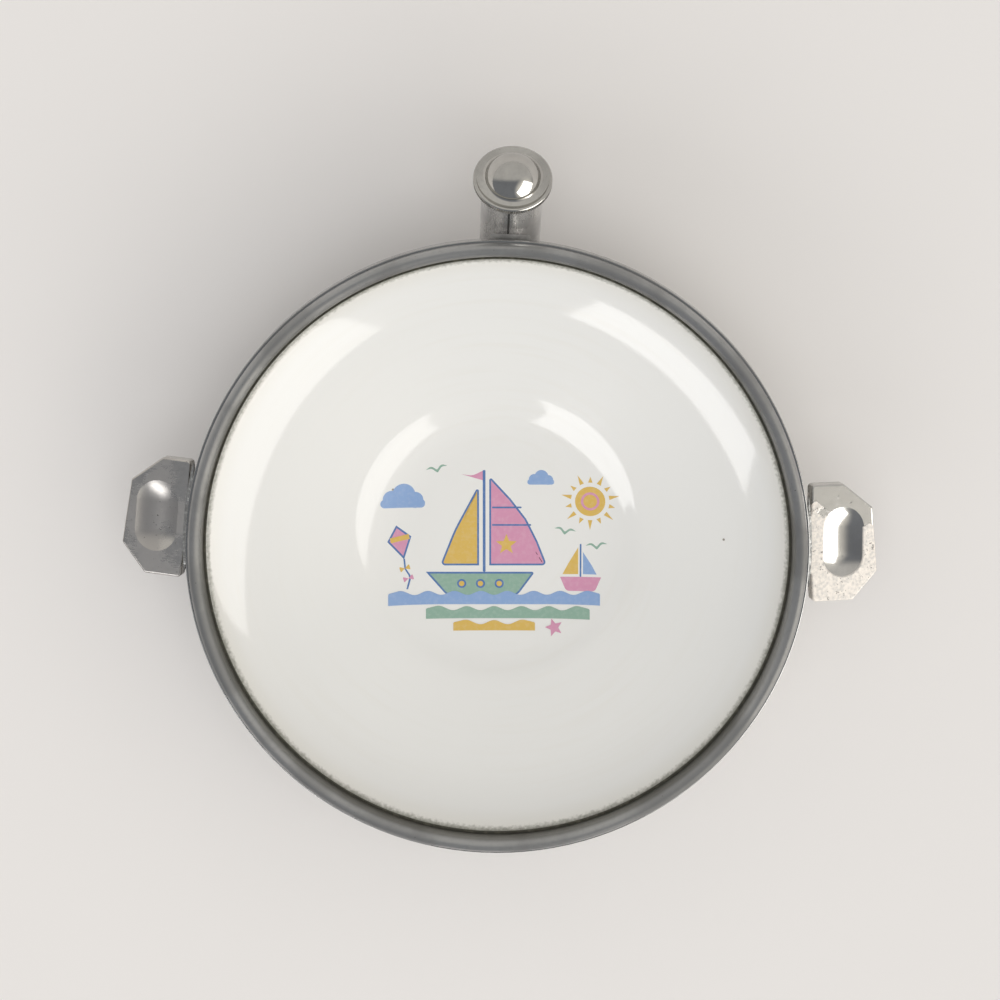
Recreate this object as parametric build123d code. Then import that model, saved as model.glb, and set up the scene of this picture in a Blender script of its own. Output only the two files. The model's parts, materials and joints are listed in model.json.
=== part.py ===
from build123d import *
import math
import os

# Child's warming dish: a ceramic bowl sealed into a metal jacket that holds hot water.
# Lengths are millimetres and angles degrees. The origin is the centre of the foot, on the table.
# +Z is up, the filler neck leans towards +Y, and the thumb tabs stand out near +X and -X.

# Rim of the dish
rim_radius = 89.0
rim_height = 49.6
collar_drop = 2.8
collar_depth = 8.6

# Jacket, drawn from one sheet
jacket_sheet = 0.8
foot_width = 8.0
ring_width = 11.0
ring_rise = 1.6
ring_step = 3.0
wall_base_inset = 8.0
seat_width = 4.1
seat_angle = 45.0
base_corner = 4.4
ring_bend = 1.6
wall_bend = 2.0
collar_bend = 1.2
sheet_edge_round = 0.3

# Pressed ring that closes the joint
bezel_sheet = 0.7
bead_width = 4.25
bead_depth = 5.8
bead_outer_round = 1.6
bead_inner_round = 2.2
bead_lean = 0.65
bezel_leg = 4.7

# Rubber strip folded over the lip of the bowl
gasket_sheet = 0.6
gasket_show = 0.6
gasket_fit = 0.1

# Ceramic bowl
bowl_wall = 4.4
floor_radius = 24.0
well_round = 38.0
well_angle = 24.0
shoulder_round = 30.0
slope_angle = 16.5
side_round = 55.0
side_angle = 31.6
brim_round = 9.0
brim_angle = 52.0
brow_round = 1.3
lip_round = 1.2
lip_seat = 2.8

# Filler neck
neck_gap = 0.42
neck_clear = 1.3
neck_stand = 6.1
tube_radius = 8.65
tube_wall = 0.8
seam_width = 0.5
seam_depth = 0.2
solder_bead = 1.2

# Threaded bush in the mouth of the neck
bush_length = 8.0
bush_flange = 0.8
bush_bore = 5.7
bush_lead = 0.4

# Screw cap
washer_thick = 1.1
washer_radius = 9.6
washer_bore = 6.1
cap_radius = 11.05
cap_edge = 1.32
cap_face_round = 0.45
cap_face_width = 0.3
cove_depth = 0.5
cove_rise = 0.3
dome_radius = 7.7
dome_height = 6.13
cap_sheet = 0.8
knurl_count = 60
knurl_depth = 0.3
plug_head = 0.8
plug_radius = 5.62
plug_length = 6.5
plug_lead = 0.6

# Thumb tabs
tab_bearing = 3.0
tab_droop = 11.0
tab_drop = 1.0
right_tab_gap = 1.0
right_tab_reach = 19.1
left_tab_gap = 0.4
left_tab_reach = 18.0
tab_side = 17.1
tab_far_cut_out = 9.6
tab_far_cut_side = 7.3
tab_near_cut_out = 6.5
tab_near_cut_side = 8.2
tab_outer_lean = 0.75
tab_inner_lean = 0.6
tab_neck = 8.2
tab_depth = 4.0
tab_sheet = 0.9
tab_corner = 1.2
tab_edge = 0.6
dish_length = 20.6
dish_width = 12.4
dish_depth = 1.4

# Places worked out from the sizes above
collar_top = rim_height - collar_drop
collar_bottom = rim_height - collar_depth
collar_inside = rim_radius - jacket_sheet
wall_top_radius = rim_radius - seat_width
seat_bottom = collar_bottom - seat_width * math.tan(math.radians(seat_angle))
wall_base_radius = rim_radius - wall_base_inset
foot_outer_radius = wall_base_radius - base_corner
ring_outer_radius = foot_outer_radius - foot_width
ring_inner_radius = ring_outer_radius - ring_width
bead_inside = collar_inside - bead_width
lip_top = rim_height - bead_depth - gasket_sheet
wall_lean = math.atan((wall_top_radius - wall_base_radius) / seat_bottom)
neck_room = (seat_bottom - base_corner - neck_clear) / math.cos(wall_lean)
neck_lean = wall_lean + math.asin(2 * tube_radius / neck_room)
lip_radius = collar_inside - bezel_sheet - gasket_fit - gasket_sheet


def slanted(run, angle):
    """Height gained along a slope over a level run."""
    return run * math.tan(math.radians(angle))


def turned(section):
    """Solid turned about the Z axis from a section drawn in the XZ plane."""
    return revolve(section, Axis.Z)


def drawn(*points):
    """Points of a section, given as radius and height, in the XZ plane."""
    return [Vector(radius, 0, height) for radius, height in points]


def walled(outline, thickness, choose=min):
    """Section of a sheet laid along a bent line: min lays it inside the bends and max outside them."""
    wire = Wire(outline.edges())
    sheets = [make_face(offset(wire, thickness, side=side).edges()) for side in (Side.LEFT, Side.RIGHT)]
    return choose(sheets, key=lambda sheet: sheet.area)


def jacket_outline():
    """Outside line of the jacket from the centre of its base to the top of its collar."""
    corners = drawn(
        (0, 0),
        (ring_inner_radius, 0),
        (ring_inner_radius + ring_step, ring_rise),
        (ring_outer_radius - ring_step, ring_rise),
        (ring_outer_radius, 0),
        (wall_base_radius, 0),
        (wall_top_radius, seat_bottom),
        (rim_radius, collar_bottom),
        (rim_radius, collar_top),
    )
    bends = [ring_bend] * 4 + [base_corner, wall_bend, collar_bend]
    return FilletPolyline(*corners, radius=bends)


def jacket_envelope(grown=0.0):
    """Everything inside the jacket's outside line, grown by a distance."""
    outline = jacket_outline()
    closing = Polyline(*drawn((rim_radius, collar_top), (0, collar_top), (0, 0)))
    section = make_face(outline.edges() + closing.edges())
    if grown:
        half = Plane.XZ * Rectangle(
            rim_radius + grown, rim_height * 2 + grown, align=(Align.MIN, Align.CENTER)
        )
        section = offset(section, grown) & half
    return turned(section)


def make_jacket():
    """Drawn pan with a pressed ring in its base, a flared seat, an upright collar and the neck's hole."""
    pan = turned(walled(jacket_outline(), jacket_sheet))
    top = pan.edges().filter_by_position(Axis.Z, collar_top, collar_top)
    return fillet(top, sheet_edge_round) - neck_rod(tube_radius - tube_wall, neck_root(), 0)


def neck_plane(along=0.0):
    """Plane square to the filler neck, at a distance along it from the level of the collar's foot."""
    past_seat = wall_top_radius + (collar_bottom - seat_bottom) * math.tan(neck_lean)
    start = max(rim_radius, past_seat) + (tube_radius + neck_gap) / math.cos(neck_lean)
    upward = Vector(0, math.sin(neck_lean), math.cos(neck_lean))
    origin = Vector(0, start, collar_bottom) + upward * along
    return Plane(origin=origin, x_dir=Vector(1, 0, 0), z_dir=upward)


def neck_rod(radius, low, high):
    """Round bar along the filler neck between two distances."""
    return neck_plane(low) * Cylinder(radius, high - low, align=(Align.CENTER, Align.CENTER, Align.MIN))


def neck_root():
    """Distance down the neck that lies well inside the jacket and clear of its base."""
    centre_height = neck_clear + tube_radius * math.sin(neck_lean)
    return (centre_height - collar_bottom) / math.cos(neck_lean)


def bead_outline():
    """Outside line of the ring's bead, from the foot of its outer leg to the foot of its inner leg."""
    corners = drawn(
        (collar_inside, collar_top - bezel_leg),
        (collar_inside, rim_height),
        (bead_inside + bead_lean, rim_height),
        (bead_inside, lip_top + gasket_sheet),
    )
    return FilletPolyline(*corners, radius=[bead_outer_round, bead_inner_round])


def make_bezel():
    """Pressed ring with a round bead, soldered inside the collar, its inner edge flat on the gasket."""
    return turned(walled(bead_outline(), bezel_sheet)) - make_gasket()


def lip_height(radius, cover):
    """Height of the seat's inner cone at a radius, with a cover over the outside line of the jacket."""
    rise = slanted(rim_radius - radius, seat_angle)
    return collar_bottom - rise + cover / math.cos(math.radians(seat_angle))


def lip_outline(inner):
    """Line over the lip of the bowl, from its top at a radius, round its edge and down its seat."""
    cover = jacket_sheet + gasket_sheet
    seat_inner = lip_radius - lip_seat
    corners = drawn(
        (inner, lip_top),
        (lip_radius, lip_top),
        (lip_radius, lip_height(lip_radius, cover)),
        (seat_inner, lip_height(seat_inner, cover)),
    )
    return FilletPolyline(*corners, radius=[lip_round, 0])


def make_gasket():
    """Rubber strip folded over the lip."""
    return turned(walled(lip_outline(bead_inside - gasket_show), gasket_sheet, max))


def arc_step(radius, low, high):
    """Step outwards and up along an arc whose slope goes from one angle to another."""
    run = abs(math.sin(math.radians(high)) - math.sin(math.radians(low)))
    rise = abs(math.cos(math.radians(high)) - math.cos(math.radians(low)))
    return Vector(radius * run, 0, radius * rise)


def slope_arc(begin, radius, low, high):
    """Arc that climbs outwards from a point while its slope goes from one angle to another."""
    middle = begin + arc_step(radius, low, (low + high) / 2)
    return ThreePointArc(begin, middle, begin + arc_step(radius, low, high))


def bowl_line(height, cover, slope_run):
    """Line of the bowl's face from its centre to the end of the rounded side, at a cover below the face."""
    edges = [Line((0, 0, height), (floor_radius, 0, height))]
    edges.append(slope_arc(edges[-1] @ 1, well_round + cover, 0, well_angle))
    edges.append(slope_arc(edges[-1] @ 1, shoulder_round - cover, well_angle, slope_angle))
    slope_start = edges[-1] @ 1
    slope_end = slope_start + Vector(slope_run, 0, slanted(slope_run, slope_angle))
    edges.append(Line(slope_start, slope_end))
    edges.append(slope_arc(slope_end, side_round + cover, slope_angle, side_angle))
    return edges


def brim_line(start):
    """Line of the bowl's face from the end of the rounded side up to its level lip."""
    brim = slope_arc(start, brim_round, side_angle, brim_angle)
    return [brim, slope_arc(brim @ 1, brow_round, brim_angle, 0)]


def make_bowl():
    """Ceramic bowl: flat floor, shallow well, easy slope, rounded side and a lip that hangs on its seat."""
    steps = (
        Vector(floor_radius, 0, 0),
        arc_step(well_round, 0, well_angle),
        arc_step(shoulder_round, well_angle, slope_angle),
        arc_step(side_round, slope_angle, side_angle),
        arc_step(brim_round, side_angle, brim_angle),
        arc_step(brow_round, brim_angle, 0),
    )
    slope_run = bead_inside - sum(step.X for step in steps)
    depth = sum(step.Z for step in steps) + slanted(slope_run, slope_angle)
    inner = bowl_line(lip_top - depth, 0, slope_run)
    inner += brim_line(inner[-1] @ 1)
    under = bowl_line(lip_top - depth - bowl_wall, bowl_wall, slope_run)
    lip = lip_outline(bead_inside)
    closing = [Line(lip @ 1, under[-1] @ 1), Line(under[0] @ 0, inner[0] @ 0)]
    return turned(make_face(inner + lip.edges() + under + closing))


def make_tube():
    """Filler tube, cut to sit on the jacket, with a lengthwise seam on its upper side."""
    mouth = neck_stand - bush_flange
    tube = neck_rod(tube_radius, neck_root(), mouth)
    tube -= neck_rod(tube_radius - tube_wall, neck_root(), mouth)
    seam_low = neck_plane(neck_root()) * Pos(0, tube_radius, 0)
    groove = seam_low * Box(
        seam_width, 2 * seam_depth, mouth - neck_root(), align=(Align.CENTER, Align.CENTER, Align.MIN)
    )
    return tube - groove - jacket_envelope()


def make_tube_solder():
    """Solder run round the foot of the tube."""
    bead = neck_rod(tube_radius + solder_bead, neck_root(), neck_stand) & jacket_envelope(solder_bead)
    bead -= neck_rod(tube_radius, neck_root(), neck_stand)
    return largest(bead - jacket_envelope())


def largest(shape):
    """The largest solid of a shape that a cut may have left with crumbs."""
    return max(shape.solids(), key=lambda solid: solid.volume)


def make_bushing():
    """Bush with a flange that closes the tube's mouth round the plug."""
    bush = neck_rod(tube_radius - tube_wall, neck_stand - bush_length, neck_stand - bush_flange)
    bush += neck_rod(tube_radius, neck_stand - bush_flange, neck_stand)
    bush -= neck_rod(bush_bore, neck_stand - bush_length, neck_stand)
    lead_plane = neck_plane(neck_stand - bush_lead)
    lead = lead_plane * Cone(
        bush_bore, bush_bore + bush_lead, bush_lead, align=(Align.CENTER, Align.CENTER, Align.MIN)
    )
    return bush - lead


def make_washer():
    """Sealing washer on the bush's flange."""
    high = neck_stand + washer_thick
    return neck_rod(washer_radius, neck_stand, high) - neck_rod(washer_bore, neck_stand, high)


def cap_outline():
    """Outside line of the cap's section: knurled edge, rounded face, cove and dome."""
    face = cap_edge + cap_face_round
    face_inner = cap_radius - cap_face_round - cap_face_width
    edges = [Line((0, 0, 0), (cap_radius, 0, 0)), Line((cap_radius, 0, 0), (cap_radius, 0, cap_edge))]
    diagonal = cap_face_round * math.sqrt(2) / 2
    edges.append(
        ThreePointArc(
            (cap_radius, 0, cap_edge),
            (cap_radius - cap_face_round + diagonal, 0, cap_edge + diagonal),
            (cap_radius - cap_face_round, 0, face),
        )
    )
    edges.append(Line((cap_radius - cap_face_round, 0, face), (face_inner, 0, face)))
    foot = (dome_radius, 0, face + cove_rise)
    cove_mid = ((face_inner + dome_radius) / 2, 0, face + cove_rise / 2 - cove_depth)
    edges.append(ThreePointArc((face_inner, 0, face), cove_mid, foot))
    top = (0, 0, foot[2] + dome_height)
    sphere = (dome_radius**2 + dome_height**2) / (2 * dome_height)
    half_way = math.asin(dome_radius / sphere) / 2
    if dome_height > sphere:
        half_way = (math.pi - math.asin(dome_radius / sphere)) / 2
    middle = (sphere * math.sin(half_way), 0, top[2] - sphere * (1 - math.cos(half_way)))
    edges.append(ThreePointArc(foot, middle, top))
    edges.append(Line(top, (0, 0, 0)))
    return edges


def make_cap():
    """Domed cap, hollow inside, with grooves round its edge for the fingers."""
    cap = turned(make_face(cap_outline()))
    top = cap_edge + cap_face_round + cove_rise + dome_height
    inner_radius = dome_radius - cap_sheet
    inner_height = top - plug_head - cap_sheet
    hollow = Pos(0, 0, plug_head) * scale(
        Sphere(1, arc_size1=0), by=(inner_radius, inner_radius, inner_height)
    )
    cap -= hollow
    cap -= Cylinder(cap_radius - cap_sheet, plug_head, align=(Align.CENTER, Align.CENTER, Align.MIN))
    tooth = Rot(0, 0, 45) * Box(
        knurl_depth * math.sqrt(2),
        knurl_depth * math.sqrt(2),
        cap_edge,
        align=(Align.CENTER, Align.CENTER, Align.MIN),
    )
    cap -= [place * tooth for place in PolarLocations(cap_radius, knurl_count)]
    return neck_plane(neck_stand + washer_thick) * cap


def make_plug():
    """Plug under the cap: a round head let into the shell and a shank that enters the bush."""
    seat = neck_stand + washer_thick
    plug = neck_rod(cap_radius - cap_sheet, seat, seat + plug_head)
    low = neck_stand - plug_length
    shank = neck_rod(plug_radius, low, seat)
    tip = shank.edges().filter_by(GeomType.CIRCLE).sort_by_distance(neck_plane(low).origin)[0]
    return plug + chamfer(tip, plug_lead)


def tab_plane():
    """Top plane of a tab before it is swung to its bearing: X points outwards and down."""
    droop = math.radians(tab_droop)
    outward = Vector(math.cos(droop), 0, -math.sin(droop))
    origin = Vector(rim_radius, 0, collar_bottom - tab_drop)
    return Plane(origin=origin, x_dir=outward, z_dir=Vector(math.sin(droop), 0, math.cos(droop)))


def tab_outline(gap, reach, root):
    """Outline of a tab and its neck, with the neck running to a distance inside the rim."""
    outer = gap + reach
    points = [
        (-root, tab_neck),
        (gap, tab_neck),
        (gap, tab_side),
        (outer - tab_far_cut_out, tab_side),
        (outer - tab_outer_lean, tab_side - tab_far_cut_side),
        (outer + tab_outer_lean, tab_near_cut_side - tab_side),
        (outer - tab_near_cut_out, -tab_side),
        (gap + tab_inner_lean, -tab_side),
        (gap, -tab_neck),
        (-root, -tab_neck),
    ]
    rounds = [0] + [tab_corner] * (len(points) - 2) + [0]
    return make_face(FilletPolyline(*points, radius=rounds, close=True).edges())


def capsule(radius, straight):
    """Round-ended bar along Y."""
    bar = Rot(90, 0, 0) * Cylinder(radius, straight)
    return bar + Pos(0, straight / 2, 0) * Sphere(radius) + Pos(0, -straight / 2, 0) * Sphere(radius)


def tab_block(gap, reach, root, margin):
    """A tab without its hollow, with its outline grown by a margin."""
    outline = offset(tab_outline(gap, reach, root), margin)
    return extrude(outline, amount=-tab_depth) + extrude(outline, amount=margin)


def make_tab(gap, reach):
    """Thumb tab pressed from sheet: a flat top with a dished recess and a skirt turned down all round."""
    root = wall_base_inset + base_corner
    outline = tab_outline(gap, reach, root)
    block = extrude(outline, amount=-tab_depth)
    block = fillet(block.faces().sort_by(Axis.Z)[-1].edges(), tab_edge)
    inside = extrude(Pos(0, 0, -tab_sheet) * offset(outline, -tab_sheet), amount=-tab_depth)
    inside += Pos(-root, 0, -tab_sheet) * Box(
        tab_sheet * 2,
        2 * (tab_neck - tab_sheet),
        tab_depth,
        align=(Align.CENTER, Align.CENTER, Align.MAX),
    )
    half_width = dish_width / 2
    ball = (half_width**2 + dish_depth**2) / (2 * dish_depth)
    straight = dish_length - dish_width
    place = Pos(gap + reach / 2, 0, ball - dish_depth)
    below = Pos(gap + reach / 2, 0, 0) * Box(
        dish_length * 2, dish_length * 2, dish_length * 2, align=(Align.CENTER, Align.CENTER, Align.MAX)
    )
    tab = block - inside
    tab += place * capsule(ball + tab_sheet, straight) & below
    tab -= place * capsule(ball, straight)
    return tab_plane() * tab - jacket_envelope()


def make_tab_solder(gap, reach):
    """Solder run over the top and down the sides of a tab's neck."""
    root = wall_base_inset + base_corner
    bead = tab_plane() * tab_block(gap, reach, root, solder_bead)
    bead &= jacket_envelope(solder_bead)
    bead -= tab_plane() * extrude(tab_outline(gap, reach, root), amount=-tab_depth - solder_bead)
    return largest(bead - jacket_envelope())


def at_right(shape):
    """A tab's piece swung to the right-hand bearing."""
    return Rot(0, 0, tab_bearing) * shape


def at_left(shape):
    """A tab's piece swung to the right-hand bearing and mirrored to the left."""
    return mirror(at_right(shape), about=Plane.YZ)


def main():
    """Builds every piece and writes one STEP file for each."""
    parts = {
        "bowl": make_bowl(),
        "lip_gasket": make_gasket(),
        "jacket": make_jacket(),
        "rim_bezel": make_bezel(),
        "spout_tube": make_tube(),
        "spout_solder": make_tube_solder(),
        "neck_bushing": make_bushing(),
        "cap_shell": make_cap(),
        "cap_plug": make_plug(),
        "cap_washer": make_washer(),
        "handle_right": at_right(make_tab(right_tab_gap, right_tab_reach)),
        "handle_left": at_left(make_tab(left_tab_gap, left_tab_reach)),
        "handle_right_solder": at_right(make_tab_solder(right_tab_gap, right_tab_reach)),
        "handle_left_solder": at_left(make_tab_solder(left_tab_gap, left_tab_reach)),
    }
    os.makedirs("parts", exist_ok=True)
    for name, solid in parts.items():
        export_step(solid, f"parts/{name}.step")
        print(name, round(solid.volume, 1), len(solid.solids()))


main()
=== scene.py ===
import json
import logging
import math
from dataclasses import dataclass
from enum import Enum
from typing import Sequence

import bmesh
import bpy
from mathutils import Matrix, Vector

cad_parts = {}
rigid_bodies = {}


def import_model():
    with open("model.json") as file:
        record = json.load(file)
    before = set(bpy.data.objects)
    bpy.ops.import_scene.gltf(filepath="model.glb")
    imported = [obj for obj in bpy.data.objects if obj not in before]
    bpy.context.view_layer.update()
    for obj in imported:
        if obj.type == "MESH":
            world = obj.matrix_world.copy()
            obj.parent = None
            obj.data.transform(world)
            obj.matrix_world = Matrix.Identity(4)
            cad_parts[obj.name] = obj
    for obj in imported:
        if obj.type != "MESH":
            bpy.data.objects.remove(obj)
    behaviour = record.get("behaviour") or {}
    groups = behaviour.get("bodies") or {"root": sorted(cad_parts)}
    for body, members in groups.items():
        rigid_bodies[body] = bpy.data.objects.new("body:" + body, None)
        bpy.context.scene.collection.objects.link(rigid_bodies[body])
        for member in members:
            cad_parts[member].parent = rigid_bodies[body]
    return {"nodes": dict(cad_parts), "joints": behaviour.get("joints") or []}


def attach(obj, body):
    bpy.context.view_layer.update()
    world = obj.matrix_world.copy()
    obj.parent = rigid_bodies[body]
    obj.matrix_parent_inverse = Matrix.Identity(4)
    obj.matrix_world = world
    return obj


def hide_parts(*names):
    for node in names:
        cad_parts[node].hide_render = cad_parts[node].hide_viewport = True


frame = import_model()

LOG = logging.getLogger("warming_dish")

# Outlines are written in millimetres, meshes and finishes in metres
MM = 0.001
MERGE = 5e-7

# Screw thread, in millimetres
THREAD_PITCH = 2.0
RIDGE_FOOT = 0.742
RIDGE_CREST = 0.175

# Turns, in radians
FULL_TURN = math.tau
PHOTO_TURN = math.radians(2.3)
SHARP_EDGE = math.radians(34.0)
FACET = math.radians(5.0)
FINE_FACET = math.radians(1.5)
INK_FACET = math.radians(12.0)
UPRIGHT = Matrix.Rotation(math.pi / 2, 4, "X")

# Facets in a full turn
RIM_STEPS = 256
THREAD_STEPS = 96

Socket = bpy.types.NodeSocket
Vert = bmesh.types.BMVert
Edge = bmesh.types.BMEdge
Rgb = tuple[float, float, float]
Span = tuple[float, float]


class Body(Enum):
    """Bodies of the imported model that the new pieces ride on."""

    DISH = "dish"
    CAP = "cap"


class Lay(Enum):
    """Direction in which a metal surface was worked, with the stretch of its fine lines."""

    ROUND_THE_DISH = (1.0, 0.004, 1.0)
    ROUND_THE_CAP = (1.0, 0.0006, 1.0)
    ALONG_THE_NECK = (0.1, 0.0086, 0.03)
    ACROSS = (0.15, 1.0, 1.0)


@dataclass(frozen=True)
class Axis:
    """Line that round pieces are centred on, with its lean towards +Y in radians."""

    origin: Vector
    tilt: float

    @classmethod
    def of_neck(cls) -> "Axis":
        """Reads the line of the filler neck and its cap from the cap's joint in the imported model."""
        joint = next(joint for joint in frame["joints"] if joint["name"] == "cap_turn")
        axis = Vector(joint["axis"])
        return cls(Vector(joint["pos_m"]), math.atan2(axis.y, axis.z))

    def place(self, sketch: "Sketch") -> None:
        """Moves an upright mesh, drawn round the zero point, to the line."""
        lean = Matrix.Translation(self.origin) @ Matrix.Rotation(-self.tilt, 4, "X")
        bmesh.ops.transform(sketch.mesh, matrix=lean, verts=sketch.mesh.verts)


DISH = Axis(Vector(), 0.0)
NECK = Axis.of_neck()


def opaque(colour: Rgb | Socket) -> tuple[float, float, float, float] | Socket:
    """Linear colour with full cover, or the socket that gives the colour."""
    return colour if isinstance(colour, Socket) else (*colour, 1.0)


def added(name: str, data: bpy.types.ID) -> bpy.types.Object:
    """Makes an object of its data and adds it to the scene."""
    made = bpy.data.objects.new(name, data)
    bpy.context.scene.collection.objects.link(made)
    return made


class Nodes:
    """Node tree with short calls for the nodes that the finishes and the room share."""

    def __init__(self, tree: bpy.types.NodeTree, place: str) -> None:
        """Takes over a tree.

        Args:
            tree: Node tree to add to.
            place: Output of the coordinate node that patterns are read from.
        """
        self.tree = tree
        self.place = tree.nodes.new("ShaderNodeTexCoord").outputs[place]

    def node(self, kind: str, inputs: dict[str | int, object], **settings: object) -> bpy.types.Node:
        """Adds a node, sets its options and fills its inputs.

        Args:
            kind: Blender's name of the node's type.
            inputs: Values or sockets for the node's inputs, by name or number.
            **settings: Options of the node.

        Returns:
            The new node.
        """
        made = self.tree.nodes.new(kind)
        for option, value in settings.items():
            setattr(made, option, value)
        for name, value in inputs.items():
            self.feed(made.inputs[name], value)
        return made

    def feed(self, target: Socket, value: object) -> None:
        """Links a socket to an input, or sets the input's own value.

        Args:
            target: Input to fill.
            value: A socket or a plain value.
        """
        if isinstance(value, Socket):
            self.tree.links.new(value, target)
        else:
            target.default_value = value

    def maths(self, operation: str, first: object, second: object = 0.0, third: object = 0.0) -> Socket:
        """Result of a sum on up to three numbers or sockets."""
        inputs = {0: first, 1: second, 2: third}
        return self.node("ShaderNodeMath", inputs, operation=operation).outputs[0]

    def gap(self, value: Socket, other: float) -> Socket:
        """Distance between two numbers."""
        return self.maths("ABSOLUTE", self.maths("SUBTRACT", value, other))

    def split(self, place: Socket) -> Sequence[Socket]:
        """The three parts of a place."""
        return self.node("ShaderNodeSeparateXYZ", {0: place}).outputs

    def moved(self, place: Socket, **changes: Sequence[float]) -> Socket:
        """Place after its Scale, Rotation and Location, in that order."""
        return self.node("ShaderNodeMapping", {"Vector": place, **changes}).outputs[0]

    def reach(self, direction: Sequence[float]) -> Socket:
        """How far the place lies in a direction."""
        inputs = {0: self.place, 1: tuple(direction)}
        return self.node("ShaderNodeVectorMath", inputs, operation="DOT_PRODUCT").outputs["Value"]

    def noise(self, scale: float, detail: float, place: Socket | None = None) -> Socket:
        """Soft random value between 0 and 1, from its patches in a metre and its finer layers."""
        inputs = {"Vector": place or self.place, "Scale": scale, "Detail": detail}
        return self.node("ShaderNodeTexNoise", inputs).outputs[0]

    def remap(self, value: Socket, low: float, high: float, to_low: float, to_high: float) -> Socket:
        """Value moved smoothly from the range low to high to another range, and kept within it."""
        inputs = {0: value, 1: low, 2: high, 3: to_low, 4: to_high}
        return self.node("ShaderNodeMapRange", inputs, interpolation_type="SMOOTHSTEP").outputs[0]

    def between(self, share: object, first: object, second: object) -> Socket:
        """Number between two numbers, with the share of the second one."""
        return self.node("ShaderNodeMix", {0: share, 2: first, 3: second}).outputs[0]

    def blend(self, share: object, first: Rgb | Socket, second: Rgb | Socket) -> Socket:
        """Colour between two colours, with the share of the second one."""
        inputs = {0: share, 6: opaque(first), 7: opaque(second)}
        return self.node("ShaderNodeMix", inputs, data_type="RGBA").outputs[2]


class Shader(Nodes):
    """Material with one surface shader."""

    def __init__(self, name: str) -> None:
        """Starts a material with an empty surface.

        Args:
            name: Name of the material.
        """
        self.material = bpy.data.materials.new(name)
        self.material.use_nodes = True
        super().__init__(self.material.node_tree, "Object")
        self.surface = self.tree.nodes["Principled BSDF"]

    def set(self, **inputs: object) -> None:
        """Fills inputs of the surface shader, with spaces written as underscores."""
        for name, value in inputs.items():
            self.feed(self.surface.inputs[name.replace("_", " ")], value)

    def bump(self, height: Socket, depth: float, under: Socket | None = None) -> Socket:
        """Surface direction with small hollows and rises.

        Args:
            height: Socket that gives the relief between 0 and 1.
            depth: Height of the relief in metres.
            under: Bumped direction that this relief lies on.

        Returns:
            Socket of the direction.
        """
        inputs = {"Height": height, "Distance": depth, "Strength": 1.0}
        if under:
            inputs["Normal"] = under
        return self.node("ShaderNodeBump", inputs).outputs[0]

    def round_axis(self, axis: Axis) -> Socket:
        """Place as distance from a line, turn about it and height along it.

        Args:
            axis: Line to measure from.

        Returns:
            Socket with the distance, the turn in radians and the height.
        """
        back = tuple(Matrix.Rotation(axis.tilt, 3, "X") @ -axis.origin)
        across, along, up = self.split(self.moved(self.place, Location=back, Rotation=(axis.tilt, 0.0, 0.0)))
        squares = self.maths("ADD", self.maths("MULTIPLY", across, across),
                             self.maths("MULTIPLY", along, along))
        inputs = {0: self.maths("SQRT", squares), 1: self.maths("ARCTAN2", along, across), 2: up}
        return self.node("ShaderNodeCombineXYZ", inputs).outputs[0]


@dataclass(frozen=True)
class Mottle:
    """Soft random patches, whose value goes from least to most while the noise goes from low to high."""

    scale: float
    detail: float
    low: float
    high: float
    least: float = 0.0
    most: float = 1.0

    def value(self, nodes: Nodes, place: Socket | None = None) -> Socket:
        """Value of the patches at the object's own place, or at another."""
        noise = nodes.noise(self.scale, self.detail, place)
        return nodes.remap(noise, self.low, self.high, self.least, self.most)


@dataclass(frozen=True)
class Relief:
    """Small hollows and rises from noise, with their depth in metres."""

    scale: float
    detail: float
    depth: float

    def direction(self, shader: Shader, place: Socket | None = None) -> Socket:
        """Surface direction with the relief, read at the object's own place or at another."""
        return shader.bump(shader.noise(self.scale, self.detail, place), self.depth)


@dataclass(frozen=True)
class Recess:
    """Where the pressed recess of a thumb tab lies, in metres and radians, and how dull it is."""

    bearing: float
    middle: float
    droop: float = math.radians(11.0)
    hinge: Span = (0.089, 0.040)
    half_length: float = 0.0108
    half_width: float = 0.0068
    wall: Span = (-0.00025, -0.00005)
    roughness: float = 0.14

    def mask(self, shader: Shader) -> Socket:
        """Value that is 1 inside the recess and 0 on the plate round it.

        Args:
            shader: Shader to add the nodes to.

        Returns:
            Socket of the value.
        """
        radius, height = self.hinge
        swung = shader.moved(shader.place, Rotation=(0.0, 0.0, -self.bearing),
                             Location=(-radius, 0.0, -height))
        out, along, up = shader.split(shader.moved(swung, Rotation=(0.0, -self.droop, 0.0)))
        aside = shader.maths("LESS_THAN", shader.gap(out, self.middle), self.half_width)
        endways = shader.maths("LESS_THAN", shader.gap(along, 0.0), self.half_length)
        sunk = shader.remap(up, *self.wall, 1.0, 0.0)
        return shader.maths("MULTIPLY", shader.maths("MULTIPLY", aside, endways), sunk)


@dataclass(frozen=True)
class Peel:
    """Part of a tab where the plating has come off and left a rough pale metal."""

    edge: float
    colour: Rgb
    shade: Rgb
    slope: float = 0.26
    ragged: float = 0.02
    fade: float = 0.0004
    edge_scale: float = 240.0
    grain_scale: float = 1100.0
    grain_span: Span = (0.35, 0.7)
    grain_depth: float = 0.00012
    roughness: float = 0.6
    metal_lost: float = 0.8

    def share(self, shader: Shader) -> Socket:
        """Value that is 1 where the plating is gone, up to a ragged sloping edge.

        Args:
            shader: Shader to add the nodes to.

        Returns:
            Socket of the value.
        """
        along = shader.reach((self.slope, 1.0, 0.0))
        uneven = shader.maths("MULTIPLY_ADD", shader.noise(self.edge_scale, 6.0), self.ragged, along)
        middle = self.edge + 0.5 * self.ragged
        return shader.remap(uneven, middle - self.fade, middle + self.fade, 1.0, 0.0)


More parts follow.
